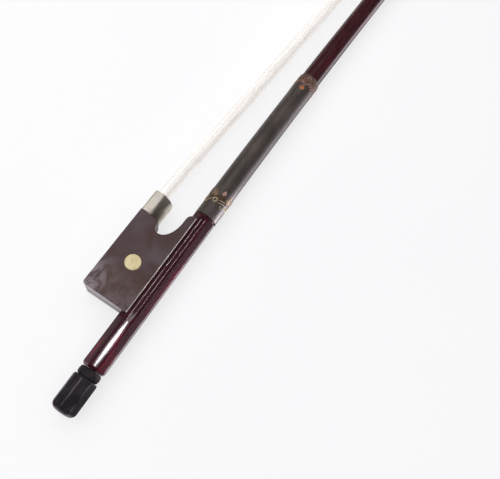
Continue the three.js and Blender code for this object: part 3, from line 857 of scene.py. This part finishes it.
class MakeBorders(bpy.types.Operator):
    """Printed foil borders of loops, curls, leaves and spots at both ends of the grip"""

    bl_idname = "bow.make_borders"
    bl_label = "Grip borders"
    bl_options = {"REGISTER", "UNDO"}

    def execute(self, context):
        gold = foil("foil_gold", linear(188, 174, 140), linear(128, 110, 82))
        brown = foil("foil_brown", linear(84, 64, 48), linear(62, 48, 38))
        blush = foil("foil_blush", linear(178, 144, 132), linear(136, 106, 96))
        amber = foil("foil_amber", linear(188, 108, 48), linear(150, 88, 46))
        tan = foil("foil_tan", linear(138, 116, 90), linear(92, 74, 56))
        clay = foil("foil_clay", linear(112, 84, 74), linear(84, 64, 56))
        rear = {
            "scrolls": (self.scroll, gold, 4),
            "ground": (self.scallop, brown, 8),
            "leaves": (self.leaf, tan, 4),
            "tips": (self.tip, blush, 4),
        }
        front = {
            "scrolls": (self.wave, blush, 4),
            "ground": (self.collar, clay, 8),
            "diamonds": (self.diamond, blush, 4),
            "spots": (self.spot, amber, 4),
        }
        ends = (
            ("rear", GRIP_LOW.x + 5.6, 1, REAR_RING_OFFSET, rear),
            ("front", GRIP_HIGH.x - 0.2, -1, FRONT_SPOT_OFFSET, front),
        )
        for end, start, towards, offset, motifs in ends:
            for part, (motif, material, repeats) in motifs.items():
                pitch = math.tau * grip_radius(start) / repeats
                pieces = []
                for repeat in range(repeats):
                    pieces += motif(pitch, offset + repeat * pitch)
                piece = join(f"border_{end}_{part}", pieces)
                wrapped(piece, start, towards)
                smooth(piece, 60)
                finish_piece(piece, "stick", "gold_foil", material)
        return {"FINISHED"}

    def scroll(self, pitch, y):
        """A ring with a double stroke on one side and an open curl on the other."""
        ring = stroke("ring", circle_points(1.75, y, 0.82), 0.42)
        tail = bend((2.3, y - 0.8), (2.2, y - 1.8), (2.9, y - 2.8), (2.9, y - 4.1), 8)
        under = bend((1.2, y - 0.9), (1.0, y - 1.9), (1.8, y - 3.0), (2.0, y - 4.1), 8)
        arch = bend((2.9, y - 0.6), (2.7, y + 0.9), (1.5, y + 1.7), (0.7, y + 2.6), 10)
        curl = circle_points(0.6, y + 3.4, 0.7, 1.2, 4.0, 12)
        lines = ((tail, 0.3), (under, 0.24), (arch, 0.3), (curl, 0.3))
        return [ring] + [stroke("line", points, width) for points, width in lines]

    def scallop(self, pitch, y):
        """Ground that swings out to a blunt point."""
        half = pitch / 2
        middle = y + half
        outline = [(2.5, y), (2.5, y + pitch)]
        swing = half * 0.6
        outline += bend((4.0, y + pitch), (4.6, middle + swing), (6.0, middle + 0.5), (6.4, middle), 8)
        outline += bend((6.4, middle), (6.0, middle - 0.5), (4.6, middle - swing), (4.0, y), 8)
        return [flat_leaf("scallop", outline, 0.0)]

    def leaf(self, pitch, y):
        """A broad leaf between two petals, over every other point."""
        middle = y + pitch / 4
        outline = bend((3.6, middle), (3.9, middle + 1.9), (5.4, middle + 1.2), (6.8, middle), 10)
        outline += bend((6.8, middle), (5.4, middle - 1.2), (3.9, middle - 1.9), (3.6, middle), 10)
        leaves = [flat_leaf("leaf", outline, 0.05)]
        for side in (-1, 1):
            root, end = (3.0, middle + side * 0.3), (4.6, middle + side * 1.7)
            outline = bend(root, (3.1, root[1] + side * 0.8), (3.9, end[1]), end, 8)
            outline += bend(end, (4.4, end[1] - side * 0.6), (3.8, root[1]), root, 8)
            leaves.append(flat_leaf("petal", outline, 0.05))
        return leaves

    def tip(self, pitch, y):
        """Pale bud over the points in between."""
        middle, half = y - pitch / 4, 1.0
        outline = bend((4.9, middle), (5.0, middle + half), (5.9, middle + half), (7.1, middle), 8)
        outline += bend((7.1, middle), (5.9, middle - half), (5.0, middle - half), (4.9, middle), 8)
        return [flat_leaf("tip", outline, 0.07)]

    def collar(self, pitch, y):
        """Ground that covers the end of the sleeve."""
        half = pitch / 2
        outline = [(0.1, y - half), (0.1, y + half)]
        outline += bend((4.6, y + half), (5.2, y + half * 0.5), (6.9, y + 0.5), (7.1, y), 8)
        outline += bend((7.1, y), (6.9, y - 0.5), (5.2, y - half * 0.5), (4.6, y - half), 8)
        return [flat_leaf("collar", outline, 0.0)]

    def wave(self, pitch, y):
        """Arcs that meet over each spot, with curls between them and at the sleeve's end."""
        half = pitch / 2
        arc = [(5.9, y - half)]
        arc += bend((5.9, y - half), (3.4, y - half), (3.0, y - 0.9), (5.4, y - 0.7), 8)
        arc += bend((5.4, y + 0.7), (3.0, y + 0.9), (3.4, y + half), (5.9, y + half), 8)
        centres = ((1.6, y - 0.5, 0.7, 0.6), (4.4, y + 1.8, 0.6, 2.0), (4.7, y - 2.0, 0.6, 1.0))
        curls = [circle_points(*centre, 4.6, 12) for centre in centres]
        return [stroke("curl", points, 0.28) for points in (arc, *curls)]

    def diamond(self, pitch, y):
        outline = [(6.2, y), (7.5, y + 1.1), (9.1, y), (7.5, y - 1.1), (6.2, y)]
        return [stroke("diamond", outline, 0.26)]

    def spot(self, pitch, y):
        outline = [(6.4, y), (7.5, y + 0.9), (8.6, y), (7.5, y - 0.9)]
        return [flat_leaf("spot", outline, 0.0)]


def flat_leaf(name, outline, lift):
    """A thin flat leaf from its outline, a little above the border's ground."""
    settings = {"dimensions": "2D", "fill_mode": "BOTH", "extrude": 0.06 * MM, "bevel_depth": 0.03 * MM}
    leaf = curve_piece(name, [outline], **settings)
    leaf.location = place(0, 0, lift)
    apply_place(leaf)
    modify(leaf, "SUBSURF", subdivision_type="SIMPLE", levels=1, render_levels=1)
    return leaf


# ------------------------------------------------------------------ frog

THROAT_X = 52.4
THROAT_Y = 10.4
NOSE_TOP_Y = 5.1
TONGUE_TOP_Y = 16.4
TONGUE_LENGTH = 7.7
CHEEK_HALF = 5.65  # half thickness of the frog at its cheeks
FROG_MORTISE_HALF = 4.9


def frog_outline():
    """The frog from the side: heel, hair side, ferrule shoulder, throat, nose and cheek."""
    heel, nose = FROG_LOW.x, FROG_HIGH.x
    cheek, hair_side = FROG_LOW.y, FROG_HIGH.y
    shoulder = FERRULE_LOW.x - SEAM
    crown = FERRULE_LOW.y
    corner = 1.4
    points = [(heel, cheek)]
    points += bend(
        (heel, hair_side - corner),
        (heel, hair_side - 0.4),
        (heel + 0.4, hair_side),
        (heel + corner, hair_side),
        6,
    )
    points += [(shoulder, hair_side), (shoulder, crown)]
    points += bend((shoulder, crown), (54.4, 12.8), (THROAT_X, 12.3), (THROAT_X, THROAT_Y))
    points += bend((THROAT_X, THROAT_Y), (THROAT_X, 7.4), (56.4, 5.15), (61.5, NOSE_TOP_Y), 18)
    points += [(63.3, NOSE_TOP_Y)]
    points += bend((63.3, NOSE_TOP_Y), (64.6, 5.0), (65.5, 4.4), (nose, 3.0), 8)
    points += [(nose, cheek)]
    return points


def ferrule_section(inset):
    """Flat over the hair, with small round corners, and arched towards the stick."""
    half = FERRULE_HIGH.z - inset
    flat = FERRULE_HIGH.y - inset
    corner = 1.4 - inset
    spring = 17.4
    rise = spring - FERRULE_LOW.y - inset
    steps = 24
    points = circle_points(flat - corner, half - corner, corner, 0, QUARTER, 8)
    for step in range(steps + 1):
        angle = QUARTER + math.pi * step / steps
        points.append((spring + rise * math.cos(angle), half * math.sin(angle)))
    points += circle_points(flat - corner, corner - half, corner, -QUARTER, QUARTER, 8)
    return points


class MakeFrog(bpy.types.Operator):
    """Body of the frog with its throat, cheeks, eye pockets, slide track and mortise"""

    bl_idname = "bow.make_frog"
    bl_label = "Frog"
    bl_options = {"REGISTER", "UNDO"}

    def execute(self, context):
        sizes = context.scene.bow_sizes
        half = FROG_HIGH.z
        frog = slab("frog_body", [frog_outline()], -half, 2 * half, sizes.frog_rim)

        def taper(x, y, z):
            share = (y - FROG_LOW.y) / (FROG_HIGH.y - FROG_LOW.y)
            return x, y, z * (CHEEK_HALF + (half - CHEEK_HALF) * share) / half

        reshape(frog, taper)
        for tool in self.tools():
            combine(frog, tool)
        tongue_root = 1.5  # how far the tongue reaches back into the body
        start, length = FERRULE_LOW.x - tongue_root, TONGUE_LENGTH + tongue_root
        tongue = slab("tongue", [ferrule_section(0.78)], start, length, 0.2, across_x=True)
        combine(tongue, box_tool((start - 1, TONGUE_TOP_Y, -9), (FERRULE_HIGH.x + 1, 25, 9)))
        combine(frog, tongue, "UNION")
        smooth(frog, 30)
        finish_piece(frog, "frog", "frog_wood", frog_wood(sizes), "frog_body")
        return {"FINISHED"}

    def tools(self):
        """Everything that is cut out of the frog."""
        reach = 2.0
        channel = LINING_HIGH.z / math.cos(EIGHTH) + 0.05
        low_x, high_x = FROG_LOW.x - reach, FROG_HIGH.x + reach
        yield sweep("channel", [(low_x, 0, channel), (high_x, 0, channel)], 8, EIGHTH)
        yield slab("track", [self.track()], SLIDE_LOW.x - SEAM, 40, 0.01, across_x=True)
        mortise_front = FERRULE_LOW.x - 2.4
        yield box_tool(
            (FROG_PLUG_LOW.x - SEAM, FROG_PLUG_LOW.y - SEAM, -FROG_MORTISE_HALF),
            (mortise_front, FROG_HIGH.y, FROG_MORTISE_HALF),
        )
        yield box_tool(
            (mortise_front - 1, TONGUE_TOP_Y, -FROG_MORTISE_HALF),
            (FROG_HIGH.x + reach, FROG_HIGH.y + 1, FROG_MORTISE_HALF),
        )
        eyelet_x = (EYELET_LOW.x + EYELET_HIGH.x) / 2
        eyelet_bore = 1.6
        yield rod_tool("Y", eyelet_bore, (eyelet_x, 0, 0), EYELET_HIGH.y + 0.3)
        eye_x = (EYE_LOW.x + EYE_HIGH.x) / 2
        eye_y = (EYE_LOW.y + EYE_HIGH.y) / 2
        pocket = (EYE_HIGH.x - EYE_LOW.x) / 2 + 0.13
        depth = EYE_LOW.z - SEAM
        for floor in (depth, -depth - 5):
            yield rod_tool("Z", pocket, (eye_x, eye_y, floor), 5, 72)

    def track(self):
        """Dovetailed section of the slide's track."""
        top, floor = SLIDE_HIGH.y + 1, BACKING_LOW.y - SEAM
        wide, narrow = BACKING_HIGH.z + 0.06, SLIDE_HIGH.z - 0.2
        return [(floor, -wide), (top, -narrow), (top, narrow), (floor, wide)]


class MakeEyes(bpy.types.Operator):
    """Pearl eye on each side of the frog"""

    bl_idname = "bow.make_eyes"
    bl_label = "Pearl eyes"
    bl_options = {"REGISTER", "UNDO"}

    def execute(self, context):
        material = pearl("eye_pearl", linear(213, 196, 144), linear(196, 177, 120))
        for node in ("pearl_eye_near", "pearl_eye_far"):
            low, high = span(node)
            centre = ((low.x + high.x) / 2, (low.y + high.y) / 2, low.z)
            eye = rod_tool("Z", (high.x - low.x) / 2, centre, high.z - low.z, 72)
            eye.name = f"{node}_disc"
            round_edges(eye, 0.12)
            smooth(eye)
            finish_piece(eye, "frog", "pearl", material, node)
        return {"FINISHED"}


class MakeFerrule(bpy.types.Operator):
    """Nickel-silver ring that holds the hair flat"""

    bl_idname = "bow.make_ferrule"
    bl_label = "Ferrule"
    bl_options = {"REGISTER", "UNDO"}

    def execute(self, context):
        length = FERRULE_HIGH.x - FERRULE_LOW.x
        wall = 0.68
        sections = [ferrule_section(0), ferrule_section(wall)]
        ring = slab("ferrule_ring", sections, FERRULE_LOW.x, length, 0.14, across_x=True)
        smooth(ring, 35)
        finish_piece(ring, "frog", "nickel", nickel(), "ferrule")
        return {"FINISHED"}


class MakeSlide(bpy.types.Operator):
    """Pearl slide with its wooden backing, and the metal lining on the stick"""

    bl_idname = "bow.make_slide"
    bl_label = "Slide and lining"
    bl_options = {"REGISTER", "UNDO"}

    def execute(self, context):
        shell = pearl("slide_shell", linear(232, 230, 222), linear(204, 208, 200))
        slide = eased_copy("slide_pearl", "slide_shell", 0.08)
        finish_piece(slide, "frog", "slide_pearl", shell, "slide_pearl")
        backing = eased_copy("slide_backing", "slide_back", 0.05)
        finish_piece(backing, "frog", "slide_backing", ebony(), "slide_backing")
        lining = eased_copy("underslide", "lining", 0.06)
        finish_piece(lining, "frog", "nickel", nickel(), "underslide")
        lips = join("lining_lips", [self.lip(side) for side in (1, -1)])
        finish_piece(lips, "frog", "nickel", pale_lip_metal())
        return {"FINISHED"}

    def lip(self, side):
        """Bright edge of the lining that shows under one of the frog's cheeks."""
        inner, outer = LINING_HIGH.z - 0.3, 5.5
        low, high = sorted((inner * side, outer * side))
        cheek = FROG_LOW.y
        lip = box_tool((LINING_LOW.x, cheek - 0.2, low), (LINING_HIGH.x, cheek - 0.02, high))
        round_edges(lip, 0.06, 2)
        smooth(lip)
        return lip


class FinishHidden(bpy.types.Operator):
    """Finishes for the pieces inside the frog, the ferrule and the head"""

    bl_idname = "bow.finish_hidden"
    bl_label = "Inner pieces"
    bl_options = {"REGISTER", "UNDO"}

    def execute(self, context):
        maple = plain_wood("maple", linear(214, 180, 130), linear(186, 148, 98))
        brass = metal("brass", linear(206, 168, 92), linear(156, 118, 60), 0.28)
        hair = bpy.data.materials.get("horsehair") or horsehair(context.scene.bow_sizes)
        binding = thread()
        finishes = {
            "frog_plug": maple,
            "tip_plug": maple,
            "ferrule_wedge": maple,
            "eyelet": brass,
            "underslide_screw_1": nickel(),
            "underslide_screw_2": nickel(),
            "frog_hair_knot": hair,
            "tip_hair_knot": hair,
            "frog_knot_thread": binding,
            "tip_knot_thread": binding,
        }
        for node, material in finishes.items():
            dress(node, material)
        return {"FINISHED"}


# ------------------------------------------------------------------ head


class MakeHeadPlate(bpy.types.Operator):
    """White face plate of the head on its black liner"""

    bl_idname = "bow.make_head_plate"
    bl_label = "Head plate"
    bl_options = {"REGISTER", "UNDO"}

    def execute(self, context):
        plate = eased_copy("tip_plate", "face_plate", 0.2)
        finish_piece(plate, "stick", "tip_plate", bone(), "tip_plate")
        liner = eased_copy("tip_liner", "face_liner", 0.08)
        finish_piece(liner, "stick", "tip_liner", ebony(), "tip_liner")
        return {"FINISHED"}


# ------------------------------------------------------------------ screw and button


class MakeButton(bpy.types.Operator):
    """Eight-sided screw button with a round bead at its front"""

    bl_idname = "bow.make_button"
    bl_label = "Button"
    bl_options = {"REGISTER", "UNDO"}

    def execute(self, context):
        corner = BUTTON_HIGH.z / math.cos(EIGHTH - BUTTON_TURN)
        back, front = BUTTON_LOW.x, -3.5
        profile = [
            (back, 0.42),
            (back + 0.25, 0.66),
            (back + 0.75, 0.84),
            (back + 1.35, 0.95),
            (back + 2.2, 1.0),
            (front - 0.5, 1.0),
            (front, 0.93),
        ]
        turn = EIGHTH + BUTTON_TURN
        body = sweep("screw_button", [(x, 0, corner * share) for x, share in profile], 8, turn)
        round_edges(body, context.scene.bow_sizes.facet_rim, 3, 25)
        neck, bead_length, screw_hole = 3.5, 1.55, 1.48
        bead = [(front - 0.6, neck), (front + 0.1, neck)]
        for step in range(13):
            angle = math.pi * step / 12
            bead.append((front + 1.7 - bead_length * math.cos(angle), 3.65 + 0.65 * math.sin(angle)))
        bead += [(front + 3.35, neck)]
        collar = sweep("bead", [(x, 0, radius) for x, radius in bead], 64)
        combine(body, collar, "UNION")
        combine(body, rod_tool("X", screw_hole, (SCREW_LOW.x - 0.3, 0, 0), 14))
        smooth(body, 24)
        finish_piece(body, "screw", "button_black", black_satin(), "button")
        return {"FINISHED"}


class MakeScrew(bpy.types.Operator):
    """Steel finish for the screw inside the stick"""

    bl_idname = "bow.make_screw"
    bl_label = "Screw"
    bl_options = {"REGISTER", "UNDO"}

    def execute(self, context):
        dress("screw", metal("screw_steel", linear(186, 186, 188), linear(140, 138, 136), 0.3))
        return {"FINISHED"}


# ------------------------------------------------------------------ hair


RIBBON_Y = 18.7  # where the ribbon leaves the ferrule
RIBBON_HALF = 4.7  # half its width there
TIP_RIBBON_HALF = 3.05


def hair_route():
    """Centre line of the ribbon: (along, across, half width, half thickness), from frog to head."""
    ferrule, root, plate_top = FERRULE_HIGH.x, HEAD_ROOT, PLATE_HIGH.y
    route = [
        (50.5, 16.6, 4.4, 0.3),
        (51.4, 17.3, 4.5, 0.35),
        (53.4, 17.85, 4.6, 0.4),
        (56.5, 18.1, 4.65, 0.5),
        (60.0, 18.4, RIBBON_HALF, 0.8),
        (ferrule, 18.6, RIBBON_HALF, 1.1),
    ]
    end_x, end_y = root + 3, plate_top + 1.3
    count = 26
    for step in range(1, count):
        share = step / count
        slack = math.sin(math.pi * share)
        along = ferrule + (end_x - ferrule) * share
        across = RIBBON_Y + (end_y - RIBBON_Y) * share
        half_wide = RIBBON_HALF + (TIP_RIBBON_HALF - RIBBON_HALF) * share**2
        route.append((along, across, half_wide, 1.1 + 0.3 * min(1.0, 6 * slack)))
    route += [
        (end_x, end_y, 3.0, 0.55),
        (root + 5.3, plate_top + 0.9, 3.0, 0.45),
        (root + 6.7, plate_top - 0.8, 3.0, 0.35),
        (root + 7.2, plate_top - 2.8, 3.0, 0.35),
        (root + 7.2, plate_top - 5.2, 2.9, 0.35),
    ]
    return route


class MakeHair(bpy.types.Operator):
    """Ribbon of separate hairs from the frog's mortise to the head's"""

    bl_idname = "bow.make_hair"
    bl_label = "Hair"
    bl_options = {"REGISTER", "UNDO"}

    def execute(self, context):
        sizes = context.scene.bow_sizes
        chance = random.Random(11)
        route = hair_route()
        curve = bpy.data.curves.new("hair", "CURVE")
        curve.dimensions = "3D"
        curve.bevel_depth = sizes.hair_thickness / 2
        curve.bevel_resolution = 0
        for _ in range(sizes.hair_count):
            self.add_hair(curve, route, chance)
        hair = bpy.data.objects.new("hair_strands", curve)
        bpy.context.scene.collection.objects.link(hair)
        pick(hair)
        bpy.ops.object.convert(target="MESH")
        hair = bpy.context.object
        smooth(hair, 80)
        finish_piece(hair, None, "hair", horsehair(sizes), "hair_ribbon")
        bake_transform(hair)
        return {"FINISHED"}

    def add_hair(self, curve, route, chance):
        """One hair keeps its place in the ribbon and wanders a little from it."""
        wide = chance.uniform(-1, 1)
        deep = chance.uniform(-1, 1)
        waves = [(chance.uniform(0, math.tau), chance.uniform(0.6, 2.2)) for _ in range(2)]
        spline = curve.splines.new("POLY")
        spline.points.add(len(route) - 1)
        for index, (along, across, half_wide, half_deep) in enumerate(route):
            share = index / (len(route) - 1)
            loose = math.sin(math.pi * share)
            drift = [loose * math.sin(phase + rate * math.tau * share) for phase, rate in waves]
            up = half_wide * max(-1, min(1, wide + 0.1 * drift[0]))
            across_now = across + half_deep * max(-1, min(1, deep + 0.45 * drift[1]))
            spline.points[index].co = (*place(along, across_now, up), 1)


# ------------------------------------------------------------------ stage


LAMP_HEIGHT = 607  # of the lamps and strips over the handle, above its axis
TABLE_LEVEL = -5.5  # just above the table, seen from the handle's axis


class MakeStage(bpy.types.Operator):
    """White table, soft studio light and the camera"""

    bl_idname = "bow.make_stage"
    bl_label = "Stage"
    bl_options = {"REGISTER", "UNDO"}

    def execute(self, context):
        self.table()
        self.world(context)
        self.lights()
        self.camera(context)
        context.scene.view_settings.view_transform = "Standard"
        return {"FINISHED"}

    def table(self):
        """A white glowing table, so that nothing on it throws a hard shadow."""
        deselect()
        bpy.ops.mesh.primitive_plane_add(size=60, location=(0, 0, -0.0002))
        table = bpy.context.object
        table.name = "table"
        f = Finish("table_white", Specular_IOR_Level=0.1, Roughness=0.7, Emission_Strength=0.72)
        cloud = f.noise(1.0, (6, 6, 6), detail=2)
        white = f.blend(cloud, linear(136, 136, 138), linear(142, 142, 144))
        f.feed("Base Color", white)
        f.feed("Emission Color", f.blend(cloud, (0.97, 0.97, 0.985), (1.0, 1.0, 1.0)))
        table.data.materials.append(f.material)

    def world(self, context):
        """A dim studio, darkest on the side away from the hair."""
        world = bpy.data.worlds.new("studio")
        world.use_nodes = True
        tree = world.node_tree
        direction = tree.nodes.new("ShaderNodeTexCoord")
        split = tree.nodes.new("ShaderNodeSeparateXYZ")
        shade = tree.nodes.new("ShaderNodeMapRange")
        shade.interpolation_type = "SMOOTHSTEP"
        shade.inputs["From Min"].default_value = -0.25
        shade.inputs["From Max"].default_value = 0.55
        shade.inputs["To Min"].default_value = 0.26
        shade.inputs["To Max"].default_value = 0.4
        tree.links.new(direction.outputs["Generated"], split.inputs[0])
        tree.links.new(split.outputs["Y"], shade.inputs["Value"])
        path = tree.nodes.new("ShaderNodeLightPath")
        seen = tree.nodes.new("ShaderNodeMix")
        seen.inputs["B"].default_value = 0.93
        tree.links.new(path.outputs["Is Camera Ray"], seen.inputs["Factor"])
        tree.links.new(shade.outputs["Result"], seen.inputs["A"])
        tree.links.new(seen.outputs["Result"], tree.nodes["Background"].inputs["Strength"])
        context.scene.world = world

    def lights(self):
        """Fill from above, a softbox on the hair side, lamps over the handle and bright table areas.

        The two thin strips draw the bright lines along the handle's facets.
        """
        fill = softbox(place(100, 0, 900), place(100, 0, 0), (2.2, 2.2), 1.0)
        fill.visible_glossy = False
        softbox(place(200, 520, 600), place(200, 520, 0), (1.0, 0.74), 1.1)
        for size, radiance in (((0.074, 0.013), 85), ((0.1, 0.026), 8)):
            lamp = softbox(place(62, 86, LAMP_HEIGHT), place(62, 86), size, radiance)
            lamp.data.shape = "ELLIPSE"
            lamp.data.color = (1.0, 0.9, 0.97)
        for across, radiance in ((95, 95), (78, 70)):
            softbox(place(190, across, LAMP_HEIGHT), place(190, across), (0.19, 0.0006), radiance)
        self.bright_table(46, -190, (0.088, 0.35), 22.0)
        self.bright_table(545, -190, (0.91, 0.35), 4.6)
        self.bright_table(0, 21, (0.04, 0.03), 1.4)
        self.bright_table(-40, 0, (0.042, 0.03), 6.0)

    def bright_table(self, along, across, size, radiance):
        """A part of the table that looks brighter in reflections only."""
        where = place(along, across, TABLE_LEVEL)
        card = softbox(where, where + Vector((0, 0, 1)), size, radiance)
        card.data.color = (1.0, 0.92, 1.0)
        card.visible_camera = False
        card.visible_diffuse = False

    def camera(self, context):
        data = bpy.data.cameras.new("camera")
        data.lens = 42.11
        data.sensor_width = 36
        data.clip_start, data.clip_end = 0.01, 20
        camera = bpy.data.objects.new("camera", data)
        context.scene.collection.objects.link(camera)
        eye = place(-7.06, -30.92, 213.0)
        aim = place(72.81, -18.89, 0.0)
        roll = math.radians(25.80)
        turn = (aim - eye).to_track_quat("-Z", "Y").to_matrix() @ Matrix.Rotation(roll, 3, "Z")
        camera.matrix_world = Matrix.Translation(eye) @ turn.to_4x4()
        context.scene.camera = camera


def softbox(where, aim, size, radiance):
    """An area light of a given length and width in metres, and a given brightness to the eye."""
    light = bpy.data.lights.new("softbox", "AREA")
    light.shape = "RECTANGLE"
    light.size, light.size_y = size
    light.energy = radiance * math.pi * size[0] * size[1]
    lamp = bpy.data.objects.new("softbox", light)
    bpy.context.scene.collection.objects.link(lamp)
    lamp.location = where
    lamp.rotation_euler = (aim - where).to_track_quat("-Z", "Y").to_euler()
    return lamp


# ------------------------------------------------------------------ add-on


OPERATORS = (
    MakeStage,
    MakeStick,
    MakeGrip,
    MakeBorders,
    MakeFrog,
    MakeEyes,
    MakeFerrule,
    MakeSlide,
    MakeButton,
    MakeScrew,
    MakeHair,
    FinishHidden,
    MakeHeadPlate,
)


class BowPanel(bpy.types.Panel):
    """Lists the bow's sizes, colours and pieces"""

    bl_label = "Violin Bow"
    bl_idname = "VIEW3D_PT_violin_bow"
    bl_space_type = "VIEW_3D"
    bl_region_type = "UI"
    bl_category = "Bow"

    def draw(self, context):
        sizes = context.scene.bow_sizes
        for name in BowSizes.__annotations__:
            self.layout.prop(sizes, name)
        for operator in OPERATORS:
            self.layout.operator(operator.bl_idname)


CLASSES = (BowSizes, *OPERATORS, BowPanel)


def register():
    for each in CLASSES:
        bpy.utils.register_class(each)
    bpy.types.Scene.bow_sizes = PointerProperty(type=BowSizes)


def unregister():
    del bpy.types.Scene.bow_sizes
    for each in reversed(CLASSES):
        bpy.utils.unregister_class(each)


def main():
    register()
    for operator in OPERATORS:
        group, name = operator.bl_idname.split(".")
        getattr(getattr(bpy.ops, group), name)()


if __name__ == "__main__":
    main()
